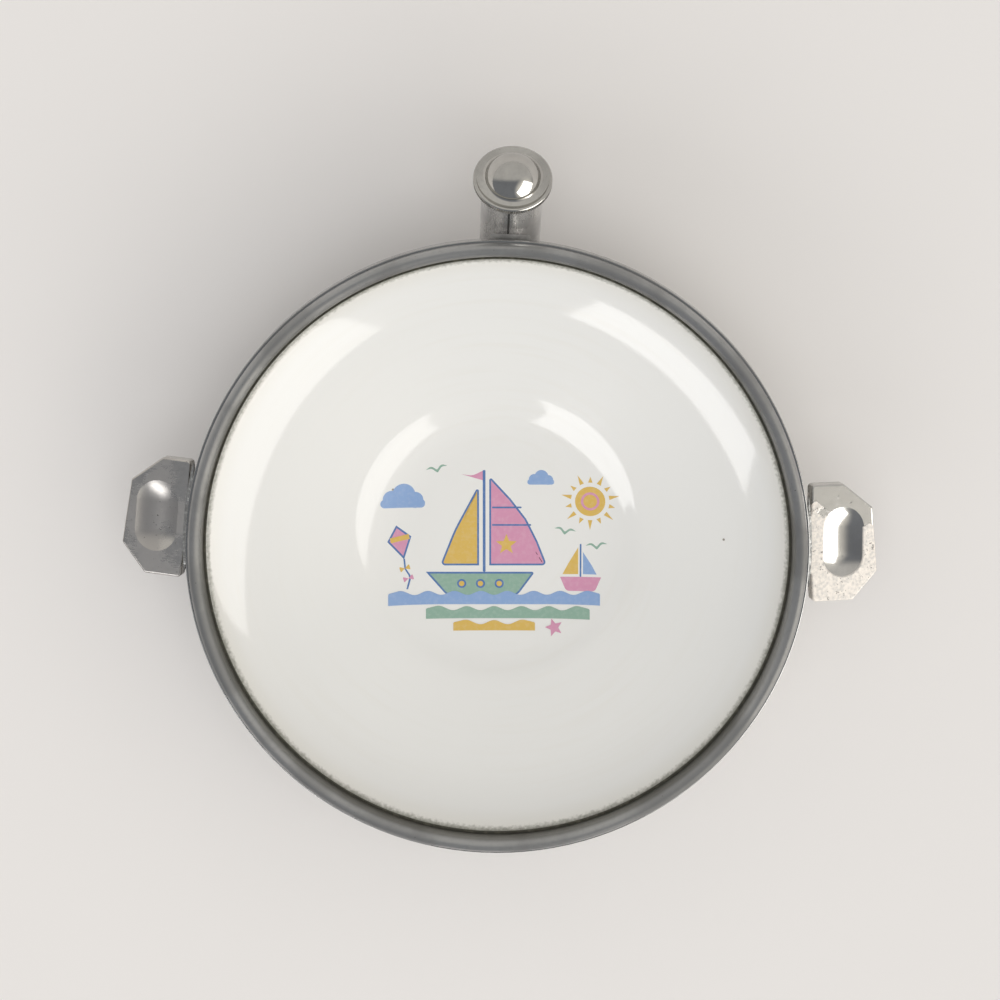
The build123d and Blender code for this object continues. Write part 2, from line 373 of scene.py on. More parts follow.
@dataclass(frozen=True)
class Finish:
    """Finish of a surface, with its main and its second tone."""

    name: str
    colour: Rgb
    shade: Rgb

    def paint(self, shader: Shader) -> None:
        """Fills the surface shader, which each kind of finish does in its own way."""

    def material(self) -> bpy.types.Material:
        """Makes the material of this finish."""
        shader = Shader(self.name)
        self.paint(shader)
        return shader.material


@dataclass(frozen=True)
class WornPlate(Finish):
    """Plated sheet metal, dulled and marked by use."""

    lay: Lay
    smooth: float = 0.16
    dull: float = 0.34
    metal: float = 1.0
    pit_share: float = 0.0
    strip_span: Span | None = None
    strip_dirt: Rgb = (0.085, 0.08, 0.062)
    seam: float | None = None
    seam_span: Span = (0.016, 0.048)
    seam_dirt: Rgb = (0.05, 0.048, 0.045)
    dirt_cover: float = 0.85
    recess: Recess | None = None
    peel: Peel | None = None
    stains: Mottle = Mottle(55.0, 6.0, 0.38, 0.66)
    flecks: Mottle = Mottle(700.0, 6.0, 0.45, 0.75, most=0.35)
    lines: Relief = Relief(2600.0, 4.0, 0.000006)
    lumps: Relief = Relief(120.0, 2.0, 0.00002)
    pits: Relief = Relief(1500.0, 4.0, 0.00001)
    pit_patches: Mottle = Mottle(260.0, 3.0, 0.35, 0.7)
    pit_span: Span = (0.7, 0.76)
    pit_colour: Rgb = (0.06, 0.055, 0.05)
    pit_cover: float = 0.8

    def paint(self, shader: Shader) -> None:
        """Metal with stains, fine lines, shallow lumps, small pits, and what use has done to it.

        Args:
            shader: Shader to fill.
        """
        kept = shader.maths("SUBTRACT", 1.0, self.recess.mask(shader)) if self.recess else 1.0
        axis = NECK if self.lay in (Lay.ROUND_THE_CAP, Lay.ALONG_THE_NECK) else DISH
        worked = shader.place if self.lay is Lay.ACROSS else shader.round_axis(axis)
        distance, turn, _ = shader.split(worked)
        fine = shader.noise(self.lines.scale, self.lines.detail, shader.moved(worked, Scale=self.lay.value))
        stain = self.stains.value(shader)
        stained = shader.blend(stain, self.colour, self.shade)
        tone = shader.blend(self.flecks.value(shader), stained, self.shade)
        rough = shader.remap(shader.maths("ADD", fine, stain), 0.5, 1.5, self.smooth, self.dull)
        if self.recess:
            rough = shader.between(kept, self.recess.roughness, rough)
        relief = shader.bump(fine, self.lines.depth, self.lumps.direction(shader))
        shader.set(Metallic=self.metal)
        if self.peel:
            bare = shader.maths("MULTIPLY", kept, self.peel.share(shader))
            grain = shader.noise(self.peel.grain_scale, 5.0)
            grained = shader.remap(grain, *self.peel.grain_span, 0.0, 1.0)
            tone = shader.blend(bare, tone, shader.blend(grained, self.peel.colour, self.peel.shade))
            rough = shader.between(bare, rough, self.peel.roughness)
            relief = shader.bump(shader.maths("MULTIPLY", bare, grain), self.peel.grain_depth, relief)
            shader.set(Metallic=shader.maths("MULTIPLY_ADD", bare, -self.peel.metal_lost, self.metal))
        if self.strip_span:
            cover = shader.remap(distance, *self.strip_span, self.dirt_cover, 0.0)
            tone = shader.blend(cover, tone, self.strip_dirt)
        if self.seam is not None:
            cover = shader.remap(shader.gap(turn, self.seam), *self.seam_span, self.dirt_cover, 0.0)
            tone = shader.blend(cover, tone, self.seam_dirt)
        patchy = shader.maths("MULTIPLY", self.pit_patches.value(shader), self.pit_share)
        raised = shader.maths("ADD", shader.noise(self.pits.scale, self.pits.detail), patchy)
        pit = shader.maths("MULTIPLY", kept, shader.remap(raised, *self.pit_span, 0.0, 1.0))
        sunk = shader.bump(shader.maths("SUBTRACT", 1.0, pit), self.pits.depth, relief)
        tone = shader.blend(shader.maths("MULTIPLY", pit, self.pit_cover), tone, self.pit_colour)
        shader.set(Base_Color=tone, Roughness=rough, Normal=sunk)


@dataclass(frozen=True)
class Glazed(Finish):
    """Finish that lies under a clear glaze, which is glossy and has slow waves."""

    gloss: Mottle = Mottle(900.0, 5.0, 0.4, 0.8, 0.07, 0.13)
    waves: Relief = Relief(26.0, 1.0, 0.00006)

    def cover(self, shader: Shader, tone: Socket) -> None:
        """Lays the glaze over a tone."""
        shader.set(Base_Color=tone, Roughness=self.gloss.value(shader), Normal=self.waves.direction(shader))


@dataclass(frozen=True)
class Glaze(Glazed):
    """Ivory glaze on earthenware, with a few specks and fine wear."""

    grime_and_shade: Rgb = (0.14, 0.14, 0.105)
    speck: Rgb = (0.16, 0.11, 0.07)
    most: float = 0.8
    clouds: Mottle = Mottle(22.0, 3.0, 0.35, 0.7, most=0.6)
    rings: Mottle = Mottle(500.0, 2.0, 0.45, 0.7, most=0.4)
    ring_stretch: tuple[float, float, float] = (1.0, 0.003, 0.0)
    warm_span: Span = (0.077, 0.0835)
    grime_and_shade_span: Span = (0.0827, 0.0843)
    grime_and_shade_scale: float = 1000.0
    ragged: float = 0.0016
    speck_scale: float = 62.0
    speck_size: float = 0.0005
    speck_chance: float = 0.12

    def paint(self, shader: Shader) -> None:
        """Glaze that turns darker and warmer towards the lip, with grime and painted shade where it meets
        the strip.

        Args:
            shader: Shader to fill.
        """
        place = shader.round_axis(DISH)
        radius = shader.split(place)[0]
        rings = self.rings.value(shader, shader.moved(place, Scale=self.ring_stretch))
        worn = shader.maths("MULTIPLY", self.clouds.value(shader), rings)
        edge = shader.remap(radius, *self.warm_span, 0.0, self.most)
        tone = shader.blend(shader.maths("MAXIMUM", worn, edge), self.colour, self.shade)
        # Grime and painted shade: a ragged dark band on the glaze where it meets the rubber strip
        ragged = shader.maths("MULTIPLY_ADD", shader.noise(self.grime_and_shade_scale, 6.0), self.ragged, radius)
        soiled_and_shaded = shader.blend(shader.remap(ragged, *self.grime_and_shade_span, 0.0, self.most), tone, self.grime_and_shade)
        inputs = {"Vector": shader.place, "Scale": self.speck_scale}
        cell = shader.node("ShaderNodeTexVoronoi", inputs).outputs
        chance = shader.node("ShaderNodeSeparateColor", {0: cell["Color"]}).outputs[0]
        size = self.speck_size * self.speck_scale
        near = shader.remap(cell["Distance"], 0.4 * size, size, self.most, 0.0)
        speck = shader.maths("MULTIPLY", near, shader.maths("LESS_THAN", chance, self.speck_chance))
        self.cover(shader, shader.blend(speck, soiled_and_shaded, self.speck))


@dataclass(frozen=True)
class PrintInk(Glazed):
    """Ink of the picture in the bowl, thinner in small patches."""

    thin: Mottle = Mottle(900.0, 4.0, 0.4, 0.75, most=0.35)

    def paint(self, shader: Shader) -> None:
        """Ink under the glaze of the bowl."""
        self.cover(shader, shader.blend(self.thin.value(shader), self.colour, self.shade))


@dataclass(frozen=True)
class OldRubber(Finish):
    """Hardened rubber, slightly uneven, with paler dust as its second tone."""

    dusty: Mottle = Mottle(600.0, 5.0, 0.45, 0.75, most=0.7)
    dullness: Mottle = Mottle(300.0, 3.0, 0.3, 0.7, 0.55, 0.85)
    relief: Relief = Relief(1500.0, 3.0, 0.00004)

    def paint(self, shader: Shader) -> None:
        """Matt dark rubber with dust."""
        shader.set(Base_Color=shader.blend(self.dusty.value(shader), self.colour, self.shade))
        shader.set(Roughness=self.dullness.value(shader), Normal=self.relief.direction(shader))


@dataclass(frozen=True)
class SoftSolder(Finish):
    """Solder run by hand, dull and lumpy."""

    metal: float = 1.0
    smooth: float = 0.32
    dull: float = 0.55
    stains: Mottle = Mottle(400.0, 4.0, 0.35, 0.7)
    relief: Relief = Relief(450.0, 2.0, 0.0004)
    turned: bool = False

    def paint(self, shader: Shader) -> None:
        """Bare metal, dull where it is stained, with tool lines round the neck where it is turned.

        Args:
            shader: Shader to fill.
        """
        stain = self.stains.value(shader)
        lines = shader.moved(shader.round_axis(NECK), Scale=Lay.ROUND_THE_CAP.value) if self.turned else None
        shader.set(
            Base_Color=shader.blend(stain, self.colour, self.shade),
            Metallic=self.metal,
            Roughness=shader.remap(stain, 0.0, 1.0, self.smooth, self.dull),
            Normal=self.relief.direction(shader, lines),
        )


@dataclass(frozen=True)
class TurnedBrass(SoftSolder):
    """Turned brass that hot water has darkened."""

    smooth: float = 0.24
    dull: float = 0.5
    stains: Mottle = Mottle(260.0, 5.0, 0.35, 0.7)
    relief: Relief = Relief(4000.0, 3.0, 0.00001)
    turned: bool = True


@dataclass(frozen=True)
class Tabletop(Finish):
    """Plain pale matt surface that the dish stands on, with a barely visible mottle."""

    name: str = "tabletop"
    colour: Rgb = (0.865, 0.84, 0.822)
    shade: Rgb = (0.845, 0.82, 0.802)
    mottle: Mottle = Mottle(9.0, 4.0, 0.35, 0.7, most=0.35)
    roughness: float = 0.9
    shine: float = 0.1

    def paint(self, shader: Shader) -> None:
        """Matt surface with hardly any shine."""
        tone = shader.blend(self.mottle.value(shader), self.colour, self.shade)
        shader.set(Base_Color=tone, Roughness=self.roughness, Specular_IOR_Level=self.shine)


def dress(node: str, material: bpy.types.Material) -> None:
    """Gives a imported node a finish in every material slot.

    Args:
        node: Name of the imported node.
        material: Finish to give it.
    """
    for slot in frame["nodes"][node].material_slots:
        slot.material = material
    LOG.info("node %s has the finish %s", node, material.name)


@dataclass(frozen=True)
class Corner:
    """Corner of an outline in millimetres, with the radius that rounds it."""

    across: float
    up: float
    round: float = 0.0


def corners(*rows: tuple[float, ...]) -> list[Corner]:
    """Corners from rows of across, up and, where it is rounded, a radius."""
    return [Corner(*row) for row in rows]


class Sketch:
    """Mesh in the making, with the shapes that the pieces are built from."""

    def __init__(self) -> None:
        """Starts with an empty mesh."""
        self.mesh = bmesh.new()

    def step_to(self, tip: Vert, place: Vector) -> Vert:
        """Draws a straight edge from a vertex to a place.

        Args:
            tip: Vertex to start from.
            place: Where the edge ends.

        Returns:
            The vertex at the end, which is the first one where they are in the same place.
        """
        if (tip.co - place).length < MERGE:
            return tip
        made = bmesh.ops.extrude_vert_indiv(self.mesh, verts=[tip])["verts"]
        bmesh.ops.translate(self.mesh, verts=made, vec=place - tip.co)
        return made[0]

    def trace(self, outline: Sequence[Corner], closed: bool = True,
              facet: float = FACET) -> list[Edge]:
        """Draws an outline in the XY plane with a true arc at each rounded corner.

        Args:
            outline: Corners in order, of which the first and the last of an open line stay sharp.
            closed: Whether the line comes back to its start.
            facet: Largest turn between two edges of an arc, in radians.

        Returns:
            The edges drawn.
        """
        known = set(self.mesh.edges)
        points = [Vector((corner.across, corner.up, 0.0)) * MM for corner in outline]
        first = tip = bmesh.ops.create_vert(self.mesh, co=points[0])["vert"][0]
        for index, point in enumerate(points[1:], 1):
            radius = outline[index].round * MM
            if not radius:
                tip = self.step_to(tip, point)
                continue
            into = (point - points[index - 1]).normalized()
            onward = (points[(index + 1) % len(points)] - point).normalized()
            bend = math.atan2(into.cross(onward).z, into.dot(onward))
            tip = self.step_to(tip, point - into * radius * math.tan(abs(bend) / 2))
            side = Vector((-into.y, into.x, 0.0)) * math.copysign(radius, bend)
            steps = max(2, math.ceil(abs(bend) / facet))
            made = bmesh.ops.spin(self.mesh, geom=[tip], cent=tip.co + side, axis=(0, 0, 1), angle=bend,
                                  steps=steps, use_duplicate=False)
            tip = next(item for item in made["geom_last"] if isinstance(item, Vert))
        if closed:
            bmesh.ops.contextual_create(self.mesh, geom=[tip, first])
        return [edge for edge in self.mesh.edges if edge not in known]

    def stand(self, edges: Sequence[Edge]) -> list[Vert | Edge]:
        """Turns a traced line upright, so that its second direction is the axis of a lathe."""
        points = list({point for edge in edges for point in edge.verts})
        bmesh.ops.transform(self.mesh, matrix=UPRIGHT, verts=points)
        return [*points, *edges]

    def turn(self, outline: Sequence[Corner], steps: int, facet: float = FACET) -> None:
        """Turns an outline into a round solid.

        Args:
            outline: Radius and height of each corner, which starts and ends on the axis where it is open.
            steps: Facets in a full turn.
            facet: Largest turn between two edges of the outline's arcs, in radians.
        """
        closed = outline[0].across > 0
        section = self.stand(self.trace(outline, closed, facet))
        bmesh.ops.spin(self.mesh, geom=section, cent=(0, 0, 0), axis=(0, 0, 1), angle=FULL_TURN, steps=steps,
                       use_merge=True, use_duplicate=False)

    def ridge(self, outline: Sequence[Corner], low: float, turns: float, steps: int = 48) -> None:
        """Winds an outline into the ridge of a right-hand thread.

        Args:
            outline: Radius and height of each corner of the ridge.
            low: Height in millimetres at which the ridge begins.
            turns: Number of turns that it makes.
            steps: Facets in a full turn.
        """
        known = set(self.mesh.edges)
        section = self.stand(self.trace(outline))
        points = [item for item in section if isinstance(item, Vert)]
        bmesh.ops.translate(self.mesh, verts=points, vec=(0, 0, low * MM))
        climb = (0, 0, THREAD_PITCH * MM / steps)
        bmesh.ops.spin(self.mesh, geom=section, cent=(0, 0, 0), axis=(0, 0, 1), angle=FULL_TURN * turns,
                       dvec=climb, steps=round(turns * steps), use_duplicate=False)
        ends = [edge for edge in self.mesh.edges if edge not in known and edge.is_boundary]
        bmesh.ops.holes_fill(self.mesh, edges=ends)

    def fill(self, outline: Sequence[Corner], shrink: float = 0.0) -> list[bmesh.types.BMFace]:
        """Fills an outline, less a margin all round.

        Args:
            outline: Corners in order.
            shrink: Width of the margin in millimetres.

        Returns:
            The faces made.
        """
        edges = self.trace(outline, facet=INK_FACET)
        faces = bmesh.ops.contextual_create(self.mesh, geom=edges)["faces"]
        if shrink:
            band = bmesh.ops.inset_region(self.mesh, faces=faces, thickness=shrink * MM,
                                          use_even_offset=True, use_boundary=True)["faces"]
            bmesh.ops.delete(self.mesh, geom=band, context="FACES")
        return faces

    def piece(self, name: str, finish: bpy.types.Material, body: Body,
              node: str | None = None) -> None:
        """Makes the mesh a piece of the dish.

        Args:
            name: Name of the piece.
            finish: Material to give it.
            body: Body that it moves with.
            node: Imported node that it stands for, if it stands for one.
        """
        bmesh.ops.remove_doubles(self.mesh, verts=self.mesh.verts, dist=MERGE)
        bmesh.ops.recalc_face_normals(self.mesh, faces=self.mesh.faces)
        mesh = bpy.data.meshes.new(name)
        self.mesh.to_mesh(mesh)
        self.mesh.free()
        mesh.shade_smooth()
        mesh.set_sharp_from_angle(angle=SHARP_EDGE)
        mesh.materials.append(finish)
        made = added(name, mesh)
        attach(made, body.value)
        if node:
            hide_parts(node)
        LOG.info("piece %s has %d faces and rides on %s", name, len(mesh.polygons), body.value)


@dataclass
class Bowl:
    """Glazed bowl, with its flat floor, shallow well, easy slope and rounded side."""

    floor_radius: float = 24.0
    floor_height: float = 22.87
    well_round: float = 38.0
    under_height: float = 18.47
    lip_radius: float = 86.8
    lip_height: float = 43.2
    glaze: Glaze = Glaze("ivory_glaze", (0.87, 0.865, 0.84), (0.83, 0.81, 0.755))

    def height(self, radius: float) -> float:
        """Height of the face in millimetres at a radius on the floor or in the well."""
        past = max(0.0, radius - self.floor_radius)
        return self.floor_height + self.well_round - math.sqrt(self.well_round ** 2 - past ** 2)

    def build(self) -> None:
        """Turns the bowl from one section: its face, its lip, its seat and its underside."""
        sketch = Sketch()
        sketch.turn(corners(
            (0.0, self.floor_height), (32.077, self.floor_height, self.well_round), (41.252, 26.955, 30.0),
            (74.34, 36.756, 55.0), (81.929, 41.424, 9.0), (83.316, self.lip_height, 1.3),
            (self.lip_radius, self.lip_height, 1.2), (self.lip_radius, 40.78, 0.3),
            (84.0, 37.98, 0.5), (82.855, 36.828), (76.149, 32.703, 59.4), (42.778, 22.818, 25.6),
            (33.012, self.under_height, 42.4), (0.0, self.under_height),
        ), RIM_STEPS, FINE_FACET)
        sketch.piece("bowl_turned", self.glaze.material(), Body.DISH, "bowl")


@dataclass
class Rim:
    """Pressed ring with its rubber strip, which close the joint between the bowl and the jacket."""

    ring_top: float = 49.6
    ring_foot: float = 42.1
    strip_top: float = 43.8
    plate: WornPlate = WornPlate(
        "ring_plate", (0.42, 0.42, 0.415), (0.32, 0.32, 0.317), Lay.ROUND_THE_DISH, smooth=0.36, dull=0.52,
        metal=0.85, strip_span=(0.0839, 0.0853))
    rubber: OldRubber = OldRubber("strip_rubber", (0.05, 0.048, 0.036), (0.13, 0.125, 0.095))

    def build(self) -> None:
        """Turns the ring's bead and the folded strip."""
        ring = Sketch()
        ring.turn(corners(
            (88.2, self.ring_foot), (88.2, self.ring_top, 1.6), (84.6, self.ring_top, 2.2),
            (83.95, self.strip_top), (84.654, self.strip_top), (85.226, 48.9, 1.5), (87.5, 48.9, 0.9),
            (87.5, self.ring_foot),
        ), RIM_STEPS)
        ring.piece("ring_turned", self.plate.material(), Body.DISH, "rim_bezel")
        strip = Sketch()
        strip.turn(corners(
            (83.35, 43.2), (86.8, 43.2, 1.2), (86.8, 40.78), (84.0, 37.98), (84.424, 37.556), (87.4, 40.532),
            (87.4, self.strip_top, 1.8), (83.35, self.strip_top, 0.2),
        ), RIM_STEPS)
        strip.piece("strip_turned", self.rubber.material(), Body.DISH, "lip_gasket")


@dataclass
class Jacket:
    """Drawn pan that holds the hot water."""

    plate: WornPlate = WornPlate("jacket_plate", (0.42, 0.42, 0.41), (0.34, 0.34, 0.335),
                                 Lay.ROUND_THE_DISH, dull=0.3)

    def build(self) -> None:
        """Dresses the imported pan."""
        dress("jacket", self.plate.material())


@dataclass
class FillerNeck:
    """Leaning tube, its solder and the threaded bush in its mouth."""

    plate: WornPlate = WornPlate("neck_plate", (0.74, 0.73, 0.72), (0.52, 0.515, 0.51), Lay.ALONG_THE_NECK,
                                 smooth=0.26, dull=0.42, metal=0.85, seam=-math.pi / 2 - 0.08)
    solder: SoftSolder = SoftSolder("neck_solder", (0.78, 0.77, 0.76), (0.62, 0.61, 0.60), 0.4)
    brass: TurnedBrass = TurnedBrass("bush_brass", (0.50, 0.34, 0.14), (0.16, 0.10, 0.05))

    def build(self) -> None:
        """Dresses the tube and its solder, and turns the bush with its inner thread."""
        dress("spout_tube", self.plate.material())
        dress("spout_solder", self.solder.material())
        bush = Sketch()
        bush.turn(corners(
            (6.15, -8.0), (7.85, -8.0), (7.85, -0.8), (8.65, -0.8, 0.15), (8.65, 0.0, 0.15),
            (6.55, 0.0), (6.15, -0.4),
        ), THREAD_STEPS)
        ridge = corners((6.4, -RIDGE_FOOT), (6.4, RIDGE_FOOT), (5.4, RIDGE_CREST), (5.4, -RIDGE_CREST))
        bush.ridge(ridge, low=-6.5, turns=2.75)
        NECK.place(bush)
        bush.piece("bush_threaded", self.brass.material(), Body.DISH, "neck_bushing")


@dataclass
class ScrewCap:
    """Domed cap with its threaded plug and its washer."""

    radius: float = 11.05
    edge_height: float = 1.77
    teeth: int = 108
    tooth_depth: float = 0.22
    toothed_radius: float = 11.0
    toothed_height: float = 1.33
    washer: float = 1.1
    plate: WornPlate = WornPlate("cap_plate", (0.56, 0.55, 0.52), (0.42, 0.41, 0.39), Lay.ROUND_THE_CAP,
                                 smooth=0.08, dull=0.22)
    brass: TurnedBrass = TurnedBrass("plug_brass", (0.52, 0.36, 0.15), (0.18, 0.11, 0.05))
    rubber: OldRubber = OldRubber("washer_rubber", (0.06, 0.035, 0.025), (0.12, 0.085, 0.065))

    def shell(self) -> None:
        """Turns the shell, presses the fine grooves into its edge and sets it on the washer."""
        shell = Sketch()
        shell.turn(corners(
            (0.0, 8.2), (6.295, 8.2, 7.9), (7.7, 2.07), (8.865, 0.754, 1.96), (10.3, self.edge_height),
            (self.radius, self.edge_height, 0.45), (self.radius, 0.0), (10.25, 0.0), (10.25, 0.8),
            (6.9, 0.8), (6.9, 7.4, 6.6), (0.0, 7.4),
        ), 2 * self.teeth)
        for point in shell.mesh.verts:
            tooth = round(math.atan2(point.co.y, point.co.x) / FULL_TURN * 2 * self.teeth)
            outer = point.co.xy.length > self.toothed_radius * MM
            if tooth % 2 and outer and point.co.z < self.toothed_height * MM:
                point.co.xy *= 1 - self.tooth_depth / self.radius
        bmesh.ops.translate(shell.mesh, verts=shell.mesh.verts, vec=(0.0, 0.0, self.washer * MM))
        NECK.place(shell)
        shell.piece("cap_turned", self.plate.material(), Body.CAP, "cap_shell")

    def build(self) -> None:
        """Makes the shell, dresses the washer, and turns the plug with its outer thread."""
        self.shell()
        dress("cap_washer", self.rubber.material())
        plug = Sketch()
        plug.turn(corners(
            (0.0, -6.5), (4.55, -6.5), (5.15, -5.9), (5.15, self.washer), (10.25, self.washer), (10.25, 1.9),
            (0.0, 1.9),
        ), THREAD_STEPS)
        ridge = corners((4.9, -RIDGE_FOOT), (5.9, -RIDGE_CREST), (5.9, RIDGE_CREST), (4.9, RIDGE_FOOT))
        plug.ridge(ridge, low=-5.5, turns=2.5)
        NECK.place(plug)
        plug.piece("plug_threaded", self.brass.material(), Body.CAP, "cap_plug")


@dataclass
class ThumbTabs:
    """Two pressed tabs and the solder that holds them."""

    left: WornPlate = WornPlate("left_tab_plate", (0.62, 0.60, 0.565), (0.48, 0.46, 0.44), Lay.ACROSS,
                                smooth=0.2, pit_share=0.06)
    right: WornPlate = WornPlate("right_tab_plate", (0.60, 0.59, 0.565), (0.48, 0.47, 0.45), Lay.ACROSS,
                                 pit_share=0.12, dull=0.42, recess=Recess(math.radians(3.0), 0.01055),
                                 peel=Peel(0.0385, (0.88, 0.82, 0.75), (0.66, 0.63, 0.59)))
    solder: SoftSolder = SoftSolder("tab_solder", (0.36, 0.36, 0.35), (0.24, 0.24, 0.235))

    def build(self) -> None:
        """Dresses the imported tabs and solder."""
        dress("handle_left", self.left.material())
        dress("handle_right", self.right.material())
        solder = self.solder.material()
        for node in ("handle_left_solder", "handle_right_solder"):
            dress(node, solder)


class Ink(Enum):
    """Colours of the picture, each with its full and its worn tone."""

    BLUE = ((0.29, 0.43, 0.70), (0.42, 0.53, 0.74))
    TRIM = ((0.11, 0.21, 0.45), (0.24, 0.34, 0.55))
    PINK = ((0.70, 0.33, 0.48), (0.75, 0.47, 0.58))
    SAGE = ((0.30, 0.46, 0.37), (0.44, 0.57, 0.50))
    YELLOW = ((0.74, 0.50, 0.13), (0.77, 0.59, 0.29))


def disc(radius: float) -> list[Corner]:
    """Outline of a round spot."""
    return corners((0.0, -radius), (radius, -radius, radius), (radius, radius, radius),
                   (-radius, radius, radius), (-radius, -radius, radius))


def bar(wide: float, high: float, rounding: float) -> list[Corner]:
    """Outline of a bar with rounded ends, from its lower left."""
    return corners((wide / 2, 0.0), (wide, 0.0, rounding), (wide, high, rounding), (0.0, high, rounding),
                   (0.0, 0.0, rounding))


def wave(wide: float, high: float, count: int, swell: float = 0.9) -> list[Corner]:
    """Outline of a strip of sea with a waved top, from its lower left."""
    step = wide / (2 * count)
    top = [(wide - step * index, high + (swell if index % 2 else -swell), 3.0)
           for index in range(1, 2 * count)]
    return corners((0.0, 0.0), (wide, 0.0), (wide, high, 0.5), *top, (0.0, high, 0.5))


def star(radius: float, waist: float, points: int = 5) -> list[Corner]:
    """Outline of a star with sharp points, slightly rounded between them."""
    turns = [FULL_TURN * index / (2 * points) for index in range(2 * points)]
    spokes = zip(turns, [(radius, 0.0), (waist, 0.3)] * points)
    return corners(*((far * math.sin(turn), far * math.cos(turn), soft) for turn, (far, soft) in spokes))


@dataclass(frozen=True)
class Shape:
    """One printed shape: its ink, its outline, and where it lies in the picture."""

    ink: Ink
    outline: list[Corner]
    across: float = 0.0
    up: float = 0.0
    turn: float = 0.0
    layer: int = 0
    shrink: float = 0.0


@dataclass
class Picture:
    """Printed seaside picture on the floor of the bowl, each ink a thin skin laid on the glaze."""

    bowl: Bowl
    trim: float = 0.55
    grid: float = 1.4
    half_wide: float = 38.0
    skin: float = 0.008
    rise: float = 0.012
    step: float = 0.0004
    rays: int = 14

    def bordered(self, ink: Ink, outline: list[Corner], *place: float) -> list[Shape]:
        """A shape with a dark border, printed as a dark shape and a smaller one on it."""
        smaller = Shape(ink, outline, *place, layer=1, shrink=self.trim)
        return [Shape(Ink.TRIM, outline, *place), smaller]

    def boat(self) -> list[Shape]:
        """Sailing boat with a sage hull, a pink mainsail and a yellow foresail.

        Returns:
            Its shapes.
        """
        hull = corners((-21.0, -10.5), (-14.5, -18.0, 4.0), (5.5, -18.0, 4.0), (11.0, -10.5, 0.5))
        mainsail = corners((-2.4, -8.6), (-2.4, 18.0, 0.5), (9.0, 5.6, 40.0), (14.5, -8.6, 1.0))
        foresail = corners((-5.4, -8.6), (-5.4, 15.5, 0.5), (-12.6, 2.0, 40.0), (-16.8, -8.6, 1.0))
        pennant = corners((0.0, 0.0), (0.0, 2.8), (-3.0, 1.3, 4.0), (-6.2, 1.8))
        made = [
            *self.bordered(Ink.SAGE, hull),
            *self.bordered(Ink.PINK, mainsail),
            *self.bordered(Ink.YELLOW, foresail),
            Shape(Ink.TRIM, bar(0.8, 30.2, 0.3), -4.3, -10.5),
            Shape(Ink.PINK, pennant, -4.3, 16.7),
            Shape(Ink.YELLOW, star(3.2, 1.35), 2.6, -2.4, layer=2),
            Shape(Ink.TRIM, bar(11.4, 0.5, 0.2), -1.6, 3.2, layer=2),
            Shape(Ink.TRIM, bar(8.6, 0.5, 0.2), -1.6, 8.4, layer=2),
        ]
        for across in (-10.5, -5.0, 0.5):
            made.append(Shape(Ink.TRIM, disc(1.35), across, -14.0, layer=2))
            made.append(Shape(Ink.YELLOW, disc(0.8), across, -14.0, layer=3))
        return made

    def dinghy(self) -> list[Shape]:
        """Small boat farther out, with a yellow and a blue sail."""
        return [
            Shape(Ink.PINK, corners((-6.0, 0.0), (-4.2, -4.2, 1.4), (4.2, -4.2, 1.4), (6.0, 0.0)),
                  24.3, -12.0),
            Shape(Ink.TRIM, bar(0.5, 9.8, 0.2), 24.05, -12.0),
            Shape(Ink.YELLOW, corners((0.0, 0.0), (0.0, 8.0), (-3.0, 3.0, 12.0), (-4.6, 0.0)), 23.6, -11.2),
            Shape(Ink.BLUE, corners((0.0, 0.0), (0.0, 6.6), (2.6, 2.6, 10.0), (4.0, 0.0)), 25.0, -11.2),
        ]

    def sky(self) -> list[Shape]:
        """Sun with its rays, two clouds and a few gulls.

        Returns:
            Their shapes.
        """
        sun = (27.0, 10.5)
        made = [Shape(Ink.YELLOW, disc(4.4), *sun), Shape(Ink.PINK, disc(2.7), *sun, layer=1),
                Shape(Ink.YELLOW, disc(2.0), *sun, layer=2)]
        for index in range(self.rays):
            ray = corners((-0.65, 5.6), (0.65, 5.6), (0.0, 8.6 if index % 2 else 7.4))
            made.append(Shape(Ink.YELLOW, ray, *sun, FULL_TURN * index / self.rays))
        for across, up, size in ((-27.6, 8.6, 1.0), (12.6, 15.4, 0.6)):
            made.append(Shape(Ink.BLUE, bar(13.0 * size, 2.6 * size, 1.25 * size), across - 6.5 * size, up))
            for shift, lift, radius in ((-3.2, 2.6, 2.6), (0.3, 3.8, 3.4), (3.6, 2.3, 2.4)):
                made.append(Shape(Ink.BLUE, disc(radius * size), across + shift * size, up + lift * size))
        wings = corners((-3.2, 1.0), (-1.5, 1.1, 1.2), (0.0, -0.5, 0.3), (1.5, 1.1, 1.2), (3.2, 1.0),
                        (1.5, 1.9, 1.2), (0.0, 0.4, 0.3), (-1.5, 1.9, 1.2))
        gulls = ((-17.5, 19.4, 0.2), (19.6, 1.0, -0.15), (29.0, -3.4, 0.1))
        return made + [Shape(Ink.SAGE, wings, *gull) for gull in gulls]

    def kite(self) -> list[Shape]:
        """Kite with a crossing band and a long tail with bows.

        Returns:
            Its shapes.
        """
        tilt = 0.22
        body = corners((0.0, 5.0), (3.6, 0.8), (0.0, -5.4), (-3.6, 0.8))
        tail = corners((-0.25, 0.0), (-0.25, -3.0, 2.0), (1.0, -5.5, 2.0), (-0.3, -9.0), (0.2, -9.1),
                       (1.6, -5.5, 2.0), (0.25, -3.0, 2.0), (0.25, 0.0))
        bow = corners((0.0, 0.0), (1.5, 0.9, 0.2), (1.5, -0.9, 0.2))
        made = [
            *self.bordered(Ink.PINK, body, -28.5, -1.5, tilt),
            Shape(Ink.YELLOW, bar(5.6, 1.5, 0.1), -31.1, -1.9, tilt, layer=2),
            Shape(Ink.TRIM, tail, -27.3, -6.6, 0.1),
        ]
        for across, up, ink in ((-27.1, -9.4, Ink.YELLOW), (-26.1, -12.4, Ink.PINK)):
            made += [Shape(ink, bow, across, up, turn, layer=1) for turn in (0.3, 0.3 + math.pi)]
        return made

